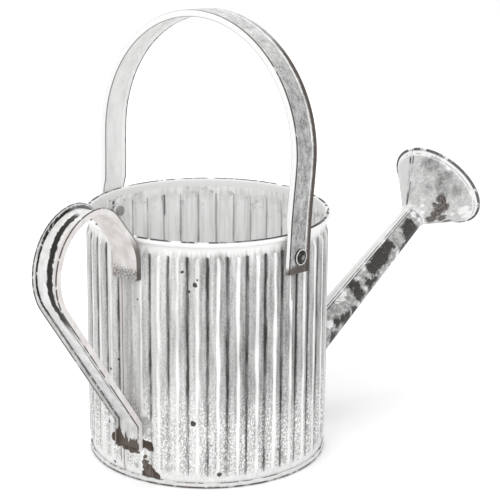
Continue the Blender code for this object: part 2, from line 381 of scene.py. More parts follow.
def stepOf(at):
    # how many steps round the wall a point lies past the first groove
    angle = math.degrees(math.atan2(at.y, at.x)) - wallShape["firstGroove"]
    return round((angle % 360) / 360 * wallShape["stepsRound"], 3) % wallShape["stepsRound"]


def waveOf(at):
    return waveAt(round(stepOf(at)) % wallShape["stepsRound"])


def waveAt(step):
    # 0 in a groove and 1 on a crest, and the height of the lap on the plain strip at the back
    perFlute = wallShape["stepsPerFlute"]
    if step <= lastGroove:
        return math.sin(math.pi * (step % perFlute) / perFlute)
    along = step - lastGroove
    lapWave = (wallShape["dip"] + wallShape["lap"]) / (wallShape["rise"] + wallShape["dip"])
    first, flat, last = wallShape["lapSteps"]
    if along <= first:
        return math.sin(math.pi * along / first)
    if along <= flat:
        return lapWave
    ending = (1 - lapWave / 2) * math.sin(math.pi * (along - flat) / (last - flat))
    return lapWave * (last - along) / (last - flat) + ending


def fluteShare(height):
    lowStart, lowEnd = wallShape["fadeLow"]
    highStart, highEnd = wallShape["fadeHigh"]
    share = min((height - lowStart) / (lowEnd - lowStart), (highEnd - height) / (highEnd - highStart))
    share = min(max(share, 0), 1)
    return share * share * (3 - 2 * share)


def drawWall():
    low = wallShape["fadeLow"]
    high = wallShape["fadeHigh"]
    radius = wallShape["radius"]
    heights = [wallFoot]
    heights += [low[0] + (low[1] - low[0]) * n / 4 for n in range(5)]
    heights += wallShape["rows"]
    heights += [high[0] + (high[1] - high[0]) * n / 5 for n in range(6)]
    letGo()
    bpy.ops.mesh.primitive_circle_add(
        vertices=wallShape["stepsRound"], radius=radius, location=(0, 0, heights[0])
    )
    wall = bpy.context.object
    edit(wall)
    for before, after in zip(heights, heights[1:]):
        push(z=after - before)
    centre = (radius + wallShape["curlInner"], wallShape["curlHeight"])
    turnEnd = 180 - wallShape["curlTurn"]
    curl = arcPoints(centre, wallShape["curlInner"], 180, turnEnd, wallShape["curlSteps"])
    drawRings((radius, heights[-1]), curl)
    leave()
    # the primitive's first point is turned onto the first groove
    settle(wall, "bodyWall", Matrix.Rotation(math.radians(wallShape["firstGroove"]), 4, "Z"))
    return wall


def fluteWall(wall):
    radius = wallShape["radius"]
    span = wallShape["rise"] + wallShape["dip"]
    shares = sorted({round(fluteShare(vertex.co.z), 3) for vertex in wall.data.vertices} - {0.0})
    waves = sorted({round(waveAt(step), 4) for step in range(wallShape["stepsRound"])})
    edit(wall)
    for share in shares:
        for wave in waves:
            pick(
                lambda at, part: at.z < wallShape["fadeHigh"][1]
                and abs(fluteShare(at.z) - share) < 0.001
                and abs(waveOf(at) - wave) < 0.0001
            )
            scaleRound((radius + (span * wave - wallShape["dip"]) * share) / radius)
    leave()


def finishWall(wall):
    def fluteMark(at):
        share = min(1, fluteShare(at.z) * 3)
        return waveOf(at) * share + wallShape["plainMark"] * (1 - share)

    note(wall, "flute", fluteMark)
    perFlute = wallShape["stepsPerFlute"]
    # lean ramps from -1 to 1 across each flute, for painted shade on the flank before each groove
    note(wall, "lean", lambda at: (stepOf(at) % perFlute) / perFlute * 2 - 1)
    edit(wall)
    tidyNormals()
    bpy.ops.mesh.flip_normals()
    leave()
    thicken(wall, wallShape["sheet"], faces=2)
    letGo()
    near, far = spoutShape["holeReach"]
    bpy.ops.mesh.primitive_cone_add(
        vertices=64,
        radius1=spoutRadius(near) + spoutShape["holeGap"],
        radius2=spoutRadius(far) + spoutShape["holeGap"],
        depth=far - near,
        location=(0, 0, (near + far) / 2),
    )
    cut(wall, settle(bpy.context.object, "spoutHole", spoutFrame))
    cut(wall, rivetRod("rivetHole", (math.pi / 2, 0, 0), Matrix.Translation(pivot)))
    settle(wall, "bodyWall", smooth=38)
    place(wall, "can", "body_wall")


# spout sizes come first, because the hole in the wall needs them

spoutShape = {
    "baseRadius": 0.0167,
    "tipRadius": 0.0113,
    "length": 0.2180,
    "sheet": 0.0007,
    "start": -0.0250,
    "trimX": 0.0935,
    "holeReach": (-0.0220, 0.0270),
    "holeGap": 0.0003,
    "steps": 72,
    "seam": 180,
    "seamSteps": 3,
    "seamRise": 0.0005,
}


def spoutRadius(along):
    share = along / spoutShape["length"]
    return spoutShape["baseRadius"] + (spoutShape["tipRadius"] - spoutShape["baseRadius"]) * share


wall = drawWall()
fluteWall(wall)
finishWall(wall)
print("wall drawn and fluted,", len(wall.data.vertices), "points")


def drawSpout():
    start = spoutShape["start"]
    length = spoutShape["length"]
    steps = spoutShape["steps"]
    letGo()
    bpy.ops.mesh.primitive_cone_add(
        vertices=steps,
        radius1=spoutRadius(start),
        radius2=spoutRadius(length),
        depth=length - start,
        end_fill_type="NOTHING",
        location=(0, 0, (length + start) / 2),
    )
    tube = bpy.context.object
    settle(tube, "spoutTube")
    edit(tube)
    halfStrip = spoutShape["seamSteps"] * 180 / steps
    seam = spoutShape["seam"]
    pick(lambda at, part: abs(math.degrees(math.atan2(at.y, at.x)) % 360 - seam) < halfStrip, "FACE")
    bpy.ops.mesh.extrude_region_move()
    middle = (spoutShape["baseRadius"] + spoutShape["tipRadius"]) / 2
    scaleRound((middle + spoutShape["seamRise"]) / middle)
    tidyNormals()
    leave()
    settle(tube, "spoutTube", spoutFrame)
    edit(tube)
    bpy.ops.mesh.bisect(plane_co=(spoutShape["trimX"], 0, 0), plane_no=(1, 0, 0), clear_inner=True)
    leave()
    thicken(tube, spoutShape["sheet"])
    settle(tube, "spoutTube", smooth=38)
    return place(tube, "can", "spout_tube")


spout = drawSpout()
print("spout drawn")

# rose: neck, flare and rolled edge drawn as rings, with a lapped seam and a perforated face

roseShape = {
    "neckRadius": 0.0103,
    "neckStart": 0.2090,
    "flareStart": 0.2195,
    "mouthAt": 0.2645,
    "mouthRadius": 0.0459,
    "curl": 0.0009,
    "sheet": 0.0007,
    "steps": 120,
    "seam": 160.5,
    "seamSteps": 2,
    "seamRise": 0.0006,
    "faceBack": 0.0016,
    "crown": 0.0016,
    "holeRadius": 0.00125,
    "holeRings": ((0, 1), (0.0135, 6), (0.0250, 12), (0.0360, 18)),
    "solderRise": 0.0014,
}


def drawRose():
    mouth = (roseShape["mouthRadius"], roseShape["mouthAt"])
    curl = arcPoints(mouth, roseShape["curl"], 140, -110, 10)
    neck = roseShape["neckRadius"]
    flareStart = roseShape["flareStart"]
    flare = [(neck + 0.0003, flareStart - 0.0012), (neck + 0.0013, flareStart + 0.0012)]
    for n in range(1, 7):
        share = n / 7
        flare.append((neck + (curl[0][0] - neck) * share, flareStart + (curl[0][1] - flareStart) * share))
    rings = [(neck, flareStart - 0.004), *flare, *curl]
    letGo()
    bpy.ops.mesh.primitive_circle_add(
        vertices=roseShape["steps"], radius=neck, location=(0, 0, roseShape["neckStart"])
    )
    cone = bpy.context.object
    edit(cone)
    drawRings((neck, roseShape["neckStart"]), rings)
    leave()
    settle(cone, "roseCone")
    edit(cone)
    tidyNormals()
    halfStrip = roseShape["seamSteps"] * 180 / roseShape["steps"]
    pick(
        lambda at, part: abs(math.degrees(math.atan2(at.y, at.x)) % 360 - roseShape["seam"]) < halfStrip
        and flareStart + 0.001 < at.z < mouth[1] - 0.0012,
        "FACE",
    )
    bpy.ops.mesh.extrude_region_shrink_fatten(TRANSFORM_OT_shrink_fatten={"value": roseShape["seamRise"]})
    leave()
    thicken(cone, roseShape["sheet"])
    settle(cone, "roseCone", spoutFrame, smooth=38)
    return place(cone, "can", "rose_cone")


def drawRoseFace():
    back = roseShape["mouthAt"] - roseShape["faceBack"]
    low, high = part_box("rose_face")
    radius = (high[1] - low[1]) / 2 - 0.0001
    sheet = roseShape["sheet"]
    crown = roseShape["crown"]
    under = [(radius * (1 - n / 8), back + crown * (1 - (1 - n / 8) ** 2)) for n in range(9)]
    over = [(radius * n / 8, back + sheet + crown * (1 - (n / 8) ** 2)) for n in range(9)]
    face = turned(list(reversed(under)) + list(reversed(over)), roseShape["steps"])
    letGo()
    drills = []
    for ringRadius, count in roseShape["holeRings"]:
        for n in range(count):
            angle = math.tau * n / count
            bpy.ops.mesh.primitive_cylinder_add(
                vertices=16,
                radius=roseShape["holeRadius"],
                depth=0.008,
                location=(ringRadius * math.cos(angle), ringRadius * math.sin(angle), back),
            )
            drills.append(bpy.context.object)
    letGo()
    for drill in drills:
        drill.select_set(True)
    bpy.context.view_layer.objects.active = drills[0]
    bpy.ops.object.join()
    cut(face, bpy.context.object)
    settle(face, "roseFace", spoutFrame)
    return place(face, "can", "rose_face")


def drawSolder():
    low = spoutShape["length"] + 0.0003
    rise = roseShape["solderRise"]
    inner = roseShape["neckRadius"] + 0.0003
    outer = spoutShape["tipRadius"]
    outline = [(inner, low), (outer + rise * 0.4, low), (outer + rise * 0.8, low + rise * 0.4)]
    outline += [(outer + rise * 0.9, low + rise * 0.8), (inner + rise * 0.6, low + rise * 0.8)]
    solder = turned(outline, 90, bevel=0.0002)
    settle(solder, "neckSolder", spoutFrame)
    return place(solder, "can", "neck_solder")


rose = drawRose()
roseFace = drawRoseFace()
solder = drawSolder()
print("rose drawn")

# base pan: floor and the hem round the foot of the wall

panShape = {"floor": 0.0009, "wall": 0.0009, "bevel": 0.00028, "steps": 234}


def drawPan():
    outside = hemCorner.x
    inside = outside - panShape["wall"]
    outline = [
        (0, panShape["floor"]),
        (inside, panShape["floor"]),
        (inside, hemCorner.z),
        (outside, hemCorner.z),
        (outside, 0.0030),
        (outside - 0.0003, 0.0021),
        (outside, 0.0012),
        (outside, 0.0003),
        (outside - 0.0003, 0),
        (0, 0),
    ]
    pan = turned(outline, panShape["steps"], bevel=panShape["bevel"])
    settle(pan, "basePan")
    return place(pan, "can", "base_hem", "base_floor")


pan = drawPan()
print("base pan drawn")

# straps: a section drawn as web and two flanges, then led along straights and bends

strapShape = {"sheet": 0.0012, "round": 0.00045}


def startStrap(width, depth, x, z, side):
    # draws the section: the web lies along Y at x, and its flanges point along side * X
    half = (width - strapShape["sheet"]) / 2
    letGo()
    bpy.ops.mesh.primitive_plane_add(size=2 * half, location=(x, 0, z))
    strap = bpy.context.object
    settle(strap, "strap")
    edit(strap)
    pick(lambda at, part: at.x < x)
    bpy.ops.mesh.delete(type="VERT")
    bpy.ops.mesh.select_all(action="SELECT")
    bpy.ops.transform.translate(value=(-half, 0, 0))
    bpy.ops.mesh.subdivide(number_cuts=7)
    for end in (half, -half):
        pick(lambda at, part: abs(at.y - end) < 0.0001 and abs(at.x - x) < 0.0001)
        for stage in range(3):
            push(x=side * depth / 3)
    leave()

    def acrossMark(at):
        # 0 in the middle of the web, 0.7 at a fold and 1 at a flange's edge
        return math.copysign(0.7 * abs(at.y) / half + 0.3 * abs(at.x - x) / depth, at.y)

    note(strap, "across", acrossMark)
    edit(strap, "EDGE")
    return strap


def straight(reached, heading, length, pieces=1):
    for n in range(pieces):
        push(x=math.cos(heading) * length / pieces, z=math.sin(heading) * length / pieces)
    return reached + Vector((math.cos(heading), math.sin(heading))) * length, heading


def bend(reached, heading, radius, degrees, steps):
    # to the left of travel where degrees is positive; the plane is XZ with X to the right
    side = math.copysign(1, degrees)
    centre = reached + Vector((-math.sin(heading), math.cos(heading))) * radius * side
    bpy.ops.mesh.spin(
        steps=steps, angle=math.radians(degrees), center=(centre.x, 0, centre.y), axis=(0, 1, 0)
    )
    turn = math.radians(degrees)
    out = reached - centre
    cosine, sine = math.cos(turn), math.sin(turn)
    reached = centre + Vector((out.x * cosine - out.y * sine, out.x * sine + out.y * cosine))
    return reached, heading + turn


handleShape = {
    "width": 0.0250,
    "depth": 0.0049,
    "turn": 4.2,
    "topTab": (-0.1046, 0.1720),
    "route": (
        ("straight", 0.0140, 2),
        ("bend", 0.0327, 40, 8),
        ("straight", 0.0258, 3),
        ("bend", 0.0250, 50, 10),
        ("bend", 0.0437, 125.7, 34),
        ("straight", 0.1406, 14),
        ("bend", 0.0060, -35.7, 6),
        ("straight", 0.0208, 3),
    ),
}


def drawHandle():
    strap = startStrap(handleShape["width"], handleShape["depth"], *handleShape["topTab"], side=1)
    reached, heading = Vector(handleShape["topTab"]), math.pi / 2
    for kind, *sizes in handleShape["route"]:
        if kind == "straight":
            reached, heading = straight(reached, heading, *sizes)
        else:
            reached, heading = bend(reached, heading, *sizes)
    print("handle route ends at", tuple(round(value, 4) for value in reached))
    finishStrap(strap)
    settle(strap, "rearHandle", Matrix.Rotation(math.radians(handleShape["turn"]), 4, "Z"))
    return place(strap, "can", "rear_handle")


def finishStrap(strap):
    tidyNormals()
    leave()
    thicken(strap, strapShape["sheet"], offset=0, faces=2)
    softEdges(strap, strapShape["round"], 40)


handle = drawHandle()
print("rear handle bent")

bailShape = {
    "width": 0.0250,
    "lean": 3.5,
    "foot": 0.1059,
    "radius": 0.1077,
    "arcRise": 0.0750,
    "leg": (-0.0135, -0.0045, 0.0040, 0.0120, 0.0200, 0.0280),
    "flare": ((0.0003, 0.0380), (0.0008, 0.0500), (0.0014, 0.0620)),
    "shallowBelow": 0.0250,
    "lowDepth": 0.0036,
    "highDepth": 0.0055,
    "arcSteps": 72,
}


def drawBail():
    # drawn in the XZ plane with the pivot at the origin, then turned to cross the can
    half = strapShape["sheet"] / 2
    foot = bailShape["foot"] - half
    crown = bailShape["radius"] - half
    depth = bailShape["highDepth"] - half
    strap = startStrap(bailShape["width"], depth, foot, bailShape["leg"][0], side=-1)
    leg = [(foot, z) for z in bailShape["leg"]]
    leg += [(foot + out, z) for out, z in bailShape["flare"]]
    leg.append((crown, bailShape["arcRise"]))
    drawPath(leg)
    bend(Vector(leg[-1]), math.pi / 2, crown, 180, bailShape["arcSteps"])
    drawPath([(-x, z) for x, z in reversed(leg)])
    # the flanges are shallower by the rivets, where they pass the rolled rim
    for side in (1, -1):
        for stage in (1, 2, 3):
            deep = foot - depth * stage / 3
            pick(
                lambda at, part: at.z < bailShape["shallowBelow"]
                and abs(side * at.x - deep) < 0.0003
            )
            move = (bailShape["highDepth"] - bailShape["lowDepth"]) * stage / 3
            bpy.ops.transform.translate(value=(side * move, 0, 0))
    finishStrap(strap)
    cut(strap, rivetRod("bailHole", (0, math.pi / 2, 0)))
    across = Matrix.Rotation(math.radians(90), 4, "Z")
    lean = Matrix.Rotation(math.radians(bailShape["lean"]), 4, "Y")
    settle(strap, "bailStrap", Matrix.Translation(pivot) @ lean @ across)
    return place(strap, "bail", "bail_strap")


bailStrap = drawBail()
print("bail bent")

# rivets and washers: one set is modelled and copied to the other side

rivetShape = {
    "shank": 0.0025,
    "headRadius": 0.0052,
    "headRise": 0.0024,
    "tailRadius": 0.0042,
    "tailDepth": 0.0015,
    "cupRadius": 0.0064,
    "cupLip": 0.0007,
    "cupBase": 0.0007,
    "cupRise": 0.0019,
    "washerRadius": 0.0065,
    "washerFace": 0.0957,
    "washerDepth": 0.0009,
    "gap": 0.0003,
}


def drawRivets():
    size = rivetShape
    cupFace = bailShape["foot"] + size["gap"]
    headFace = cupFace + size["cupBase"] + size["gap"]
    tailFace = size["washerFace"] - size["washerDepth"] - size["gap"]
    dome = []
    for n in range(1, 9):
        angle = math.radians(90 * n / 9)
        dome.append((size["headRadius"] * math.cos(angle), headFace + size["headRise"] * math.sin(angle)))
    rivet = [
        (0, tailFace - size["tailDepth"]),
        (size["tailRadius"], tailFace - size["tailDepth"]),
        (size["tailRadius"], tailFace),
        (size["shank"], tailFace),
        (size["shank"], headFace),
        (size["headRadius"], headFace),
        *dome,
        (0, headFace + size["headRise"]),
    ]
    cup = [
        (rivetHole, cupFace),
        (size["cupRadius"], cupFace),
        (size["cupRadius"], cupFace + size["cupRise"]),
        (size["cupRadius"] - size["cupLip"], cupFace + size["cupRise"]),
        (size["cupRadius"] - size["cupLip"], cupFace + size["cupBase"]),
        (rivetHole, cupFace + size["cupBase"]),
    ]
    inner = [
        (rivetHole, size["washerFace"] - size["washerDepth"]),
        (size["washerRadius"], size["washerFace"] - size["washerDepth"]),
        (size["washerRadius"], size["washerFace"]),
        (rivetHole, size["washerFace"]),
    ]
    made = []
    for node, outline, bevel in (
        ("bail_rivet", rivet, 0.0003),
        ("cup_washer", cup, 0.00018),
        ("inner_washer", inner, 0.0002),
    ):
        first = turned(outline, 64, bevel=bevel)
        twin = first.copy()
        twin.data = first.data.copy()
        bpy.context.scene.collection.objects.link(twin)
        for piece, side, word in ((first, -1, "right"), (twin, 1, "left")):
            turn = Matrix.Rotation(math.radians(-90 * side), 4, "X")
            lift = Matrix.Translation((pivot.x, 0, pivot.z))
            settle(piece, node.replace("_w", "W").replace("_r", "R") + word.title(), lift @ turn)
            made.append(place(piece, "can", f"{node}_{word}"))
    return made


hardware = drawRivets()
print("rivets and washers made")

# finishes: white wash over grey zinc, worn through in places

def facing(paint, azimuth):
    # how far the surface is from the can's axis towards an azimuth
    turn = math.radians(azimuth)
    return paint.x * math.cos(turn) + paint.y * math.sin(turn)


def onWall(azimuth, height, radius=0.0988):
    turn = math.radians(azimuth)
    return Vector((radius * math.cos(turn), radius * math.sin(turn), height / 1000))


def onWallInside(azimuth, height):
    return onWall(azimuth, height, 0.0975)


def onSpout(along, angle, radius):
    turn = math.radians(angle)
    local = Vector((radius * math.cos(turn), radius * math.sin(turn), along / 1000))
    return spoutFrame @ local


def onTube(along, angle):
    return onSpout(along, angle, spoutRadius(along / 1000))


def onRose(along, angle):
    reach = roseShape["mouthRadius"] - roseShape["neckRadius"]
    share = (along / 1000 - roseShape["flareStart"]) / (roseShape["mouthAt"] - roseShape["flareStart"])
    return onSpout(along, angle, roseShape["neckRadius"] + reach * share)


def marks(finish, put, spots, wobble, soft, grow=1.0):
    # 1 inside any of the spots, each two places and a size in millimetres; wobble moves their edges
    reach = None
    for first, second, size in spots:
        edge = finish.away(put(first, second)) - size * grow / 1000
        reach = edge if reach is None else reach.under(edge)
    return (reach + wobble).between(soft, -soft)


def spoutPlaces(finish):
    # along the spout, down from its axis, and to the left of it
    tilt = math.radians(spoutLine["tilt"])
    startX, startY, startZ = spoutLine["start"]
    forward = finish.x - startX
    up = finish.z - startZ
    along = forward * math.cos(tilt) + up * math.sin(tilt)
    down = forward * math.sin(tilt) - up * math.cos(tilt)
    return along, down, finish.y


def lineAt(down, side, angle, width):
    # a thin line along the spout or rose at an angle round it
    turn = math.radians(angle)
    off = side * math.cos(turn) - down * math.sin(turn)
    toward = down * math.cos(turn) + side * math.sin(turn)
    return abs(off).between(width, width * 0.4) * toward.between(0, 0.001)


wallPaint = {
    "crest": (0.9, 0.99),
    "flank": 0.41,
    # the azimuths of the side painted lighter and the side painted darker: painted light and painted shade
    "litSide": -176,
    "shadedSide": -92,
    "seam": 179,
    "chips": (
        (-142, 176, 1.5), (-143, 172, 2), (-149, 182, 1.2), (-171, 155, 1.1), (-146, 166, 1.3),
        (-144, 56, 2.4), (-132, 12, 2.1), (176, 99, 1.3), (171, 89, 1.8), (168, 41, 1.9),
        (172, 8, 1.3), (158, 125, 1.2), (158, 174, 0.9), (158, 105, 0.8), (-110, 128, 1),
        (-136, 37, 0.8), (-102, 26, 1),
    ),
    # bare metal by the handle's lower tab; the spot at -171, 31 is a painted shadow beside the handle's
    # near flange
    "bareAndShadow": (
        (-187, 31, 4), (-184, 28, 4.4), (-180, 27, 4.6), (-176, 26, 4.4), (-173, 27, 4.4),
        (-171, 31, 3.6), (-169, 33, 3.8), (-166, 32, 4), (-165, 30, 3), (-168, 22, 2),
        (-168, 17, 3.2), (-167, 13, 4), (-165, 9, 4.8), (-163, 6, 4.6), (-168, 6, 4.2),
    ),
    "stains": (
        (-173, 12, 2.4), (-165, 42, 2.2), (-170, 46, 6), (-168, 52, 5),
    ),
    "drips": (
        (98, 196, 1.6), (98, 192, 1.1), (95, 200, 1.2), (92, 201, 1.5), (100, 188, 0.9),
        (90, 190, 0.8), (101, 199, 1),
    ),
}


def rimPaint(paint):
    # plain white band over the rolled rim, with a broken dark line along its inner top edge
    around = (paint.x * paint.x + paint.y * paint.y).root()
    paint.layer(paint.z.between(0.199, 0.201), "white")
    breaks = paint.cloud(0.008, 3.1, 3).between(0.42, 0.52)
    nearSide = (paint.x * -0.737 + paint.y * -0.676).between(0.0, 0.05)
    rightSide = (paint.x * 0.3 + paint.y * -0.95).between(0.03, 0.08)
    line = (around - nearSide * 0.0008).between(0.1006, 0.1) * around.between(0.0979, 0.0986)
    line = line * paint.z.between(0.2045, 0.2056) * breaks.over(rightSide * nearSide)
    paint.layer(line * 0.95, "dark")


def paintWallOutside():
    paint = Finish("flutedWhitewash")
    flute = paint.attribute("flute")
    lean = paint.attribute("lean")
    z = paint.z
    streak = paint.cloud(0.003, 0.3, 5, 14)
    grain = paint.cloud(0.0011, 2.3, 3, 1.6)
    broad = paint.cloud(0.026, 5.7, 4, 2.4)
    low = z.between(0.1, 0.028)
    # pale: painted light, the side of the can towards the left made lighter
    pale = facing(paint, wallPaint["litSide"]).between(0.055, 0.1)
    # painted shade: the right of the can made greyer at mid-height
    sideShade = facing(paint, wallPaint["shadedSide"]).between(0.05, 0.099)
    sideShade = sideShade * z.between(0.03, 0.075) * z.between(0.196, 0.16)
    shade = wallPaint["flank"] + streak.sway(1.05) + broad.sway(0.5) + grain.sway(0.75)
    # lean darkens the flank before each groove as painted shade, as if lit from the left
    shade = shade - flute.between(0.6, 0.1) * 0.2 - lean * 0.12 + pale * 0.2 - sideShade * 0.12
    frost = grain.between(0.49, 0.58)
    shade = shade + low * (frost * 0.56 + 0.04)
    # a white line along each crest, partly white paint and partly a painted highlight
    crest = (flute + streak.sway(0.22)).between(*wallPaint["crest"])
    crest = crest * (0.72 + broad.between(0.3, 0.55) * 0.28)
    shade = shade.over(crest * 1.02)
    ends = (z + streak.sway(0.012)).between(0.191, 0.2).over(z.between(0.0155, 0.0075) * 0.72)
    shade = shade + (1 - shade) * ends
    paint.ground(shade, "zinc", "white")
    thin = paint.cloud(0.003, 8.1, 4, 5)
    # the dark patina in the grooves, pushed onto the shaded flank by lean and narrowed on the lit side by
    # pale: partly painted shade
    groove = (flute + thin.sway(0.42) + low * 0.13 + pale * 0.08 - lean * 0.05).between(0.4, 0.15)
    heavy = paint.cloud(0.02, 4.4, 3, 2.6).between(0.34, 0.56)
    paint.layer(groove * (0.42 + heavy * 0.5), "dark")
    seam = abs(facing(paint, wallPaint["seam"] + 90))
    behind = paint.x.between(-0.05, -0.08)
    paint.layer(seam.between(0.0042, 0.0012) * behind * 0.55, "blush")
    paint.layer(seam.between(0.0007, 0.0003) * behind * 0.7, "rust")
    wobble = paint.cloud(0.003, 6.1).sway(0.0042)
    stain = marks(paint, onWall, wallPaint["stains"], wobble, 0.0016)
    paint.layer(stain * 0.55, "zinc")
    # bare metal in rust and clay, with one spot of painted shadow beside the handle's flange
    bareAndShadow = marks(paint, onWall, wallPaint["bareAndShadow"], wobble * 0.8, 0.0003)
    clay = paint.cloud(0.0022, 1.1, 4, 5).between(0.35, 0.62) * z.between(0.034, 0.016)
    bareShade = paint.mix(clay, "rust", "clay")
    paint.layer(bareAndShadow, bareShade)
    chips = marks(paint, onWall, wallPaint["chips"], wobble * 0.5, 0.0003)
    paint.layer(chips * 0.93, "dark")
    specks = paint.cloud(0.0016, 9.2, 2).between(0.735, 0.77) * z.between(0.16, 0.03)
    paint.layer(specks * 0.7, "rust")
    rimPaint(paint)
    paint.gloss(0.42 + grain * 0.25)
    height = grain * 0.4 + streak * 0.3 - bareAndShadow.over(chips) * 0.8
    paint.relief(height)
    paint.coat(wall, 0)


def paintWallInside():
    paint = Finish("innerWash", 0.6)
    flute = paint.attribute("flute")
    streak = paint.cloud(0.0034, 1.3, 5, 16)
    broad = paint.cloud(0.03, 3.7, 4, 2)
    shade = 0.84 + streak.sway(1.7) + broad.sway(0.7)
    shade = shade + flute.between(0.8, 0.98) * 0.1
    # the inside wash runs up to the brighter white as painted light, making up for the light that reaches
    # less far into the can
    paint.ground(shade, "wash", "paintedLightWhite")
    thin = paint.cloud(0.0034, 2.9, 4, 7)
    paint.layer((flute + thin.sway(0.4)).between(0.2, 0.04) * 0.6, "zinc")
    run = paint.cloud(0.0055, 7.7, 4, 9).between(0.58, 0.66) * flute.between(0.45, 0.15)
    paint.layer(run * 0.85, "dark")
    rusty = paint.cloud(0.009, 2.2, 6, 0.8, 0.7).between(0.56, 0.68) * paint.z.between(0.165, 0.2)
    paint.layer(rusty * 0.55, "zinc")
    wobble = paint.cloud(0.003, 6.1, 4, 0.8).sway(0.004)
    drips = marks(paint, onWallInside, wallPaint["drips"], wobble, 0.0004)
    paint.layer(drips * 0.85, "dark")
    rimPaint(paint)
    paint.relief(streak * 0.5 + broad, 0.2, 0.0005)
    paint.coat(wall, 1)


def paintHem():
    paint = Finish("hemWash")
    mottle = paint.cloud(0.004, 0.9, 5)
    paint.ground(0.8 + mottle.sway(0.6), "zinc", "white")
    breaks = paint.cloud(0.0075, 5.5).between(0.4, 0.52)
    foot = paint.z.between(0.0019, 0.0009) * (0.35 + breaks * 0.6)
    paint.layer(foot, "rust")
    # painted shade: a broken dark line under the top of the hem, in the gap between hem and wall
    upper = paint.z.between(0.0037, 0.0044) * paint.cloud(0.009, 2.5).between(0.48, 0.56)
    paint.layer(upper * 0.8, "dark")
    paint.relief(mottle, 0.25, 0.0004)
    paint.coat(pan)


def paintWire():
    paint = Finish("rimWire", metallic=0.6)
    mottle = paint.cloud(0.002, 0.2)
    paint.ground(mottle, "dark", "zinc")
    paint.relief(mottle, 0.3, 0.0002)
    paint.coat(frame["nodes"]["rim_wire"])


def paintBailOutside():
    paint = Finish("bailWash", 0.45)
    across = paint.attribute("across")
    z = paint.z
    mottle = paint.cloud(0.0052, 0.4, 6, 2.0, 0.65)
    grain = paint.cloud(0.0013, 2.2, 3, 1.5)
    shade = 0.28 + mottle.sway(1.4) + grain.sway(0.9) + z.between(0.31, 0.365) * 0.28
    # painted highlights: a light line inside the front edge and a lighter strip by the rear fold, where
    # the rolled edges catch light
    shade = shade + abs(across + 0.4).between(0.06, 0.025) * 0.45 + across.between(0.56, 0.64) * 0.25
    rearFlange = across.between(0.66, 0.71)
    shade = shade.over(rearFlange * 0.95)
    paint.ground(shade, "zinc", "white")
    ragged = paint.cloud(0.003, 4.2, 4, 3).sway(0.16)
    # a dark band along the front edge, partly rust and partly painted shade on the rolled edge
    frontEdge = (across + ragged).between(-0.45, -0.53) * z.between(0.372, 0.34)
    paint.layer(frontEdge * 0.94, "rust")
    # painted shade: a broken dark line in the crease between the web and the rear flange
    fold = abs(across - 0.665).between(0.06, 0.028) * paint.cloud(0.01, 1.8).between(0.28, 0.4)
    paint.layer(fold * 0.92, "dark")
    tip = across.between(0.955, 0.985)
    paint.layer(tip * 0.7, "dark")
    wobble = paint.cloud(0.003, 3.3, 5, rough=0.7).sway(0.012)
    end = (z + wobble + across * 0.003).between(0.1865, 0.18)
    paint.layer(end * 0.9, "rust")
    paint.gloss(0.36 + grain * 0.25)
    paint.relief(mottle * 0.6 + grain * 0.4, 0.3, 0.0005)
    paint.coat(bailStrap, 0)


def paintBailInside():
    paint = Finish("bailInnerWash")
    across = paint.attribute("across")
    mottle = paint.cloud(0.008, 0.8, 5, 2.5)
    grain = paint.cloud(0.0014, 3.2, 3)
    shade = 0.92 + mottle.sway(0.4) + grain.sway(0.2) + abs(across).between(0.7, 0.76) * 0.1
    # the inner face runs up to the brighter white as painted light
    paint.ground(shade, "zinc", "paintedLightWhite")
    folds = abs(abs(across) - 0.7).between(0.016, 0.006)
    paint.layer(folds * 0.35, "zinc")
    bits = paint.cloud(0.007, 5.2, 4, 1.6).between(0.52, 0.6)
    tip = across.between(0.9, 0.96) * bits * paint.z.between(0.366, 0.345)
    paint.layer(tip * 0.9, "rust")
    frontTip = across.between(-0.955, -0.985) * paint.cloud(0.012, 2.6, 3).between(0.5, 0.58)
    paint.layer(frontTip * 0.6, "rust")
    paint.relief(mottle, 0.2, 0.0005)
    paint.coat(bailStrap, 1)


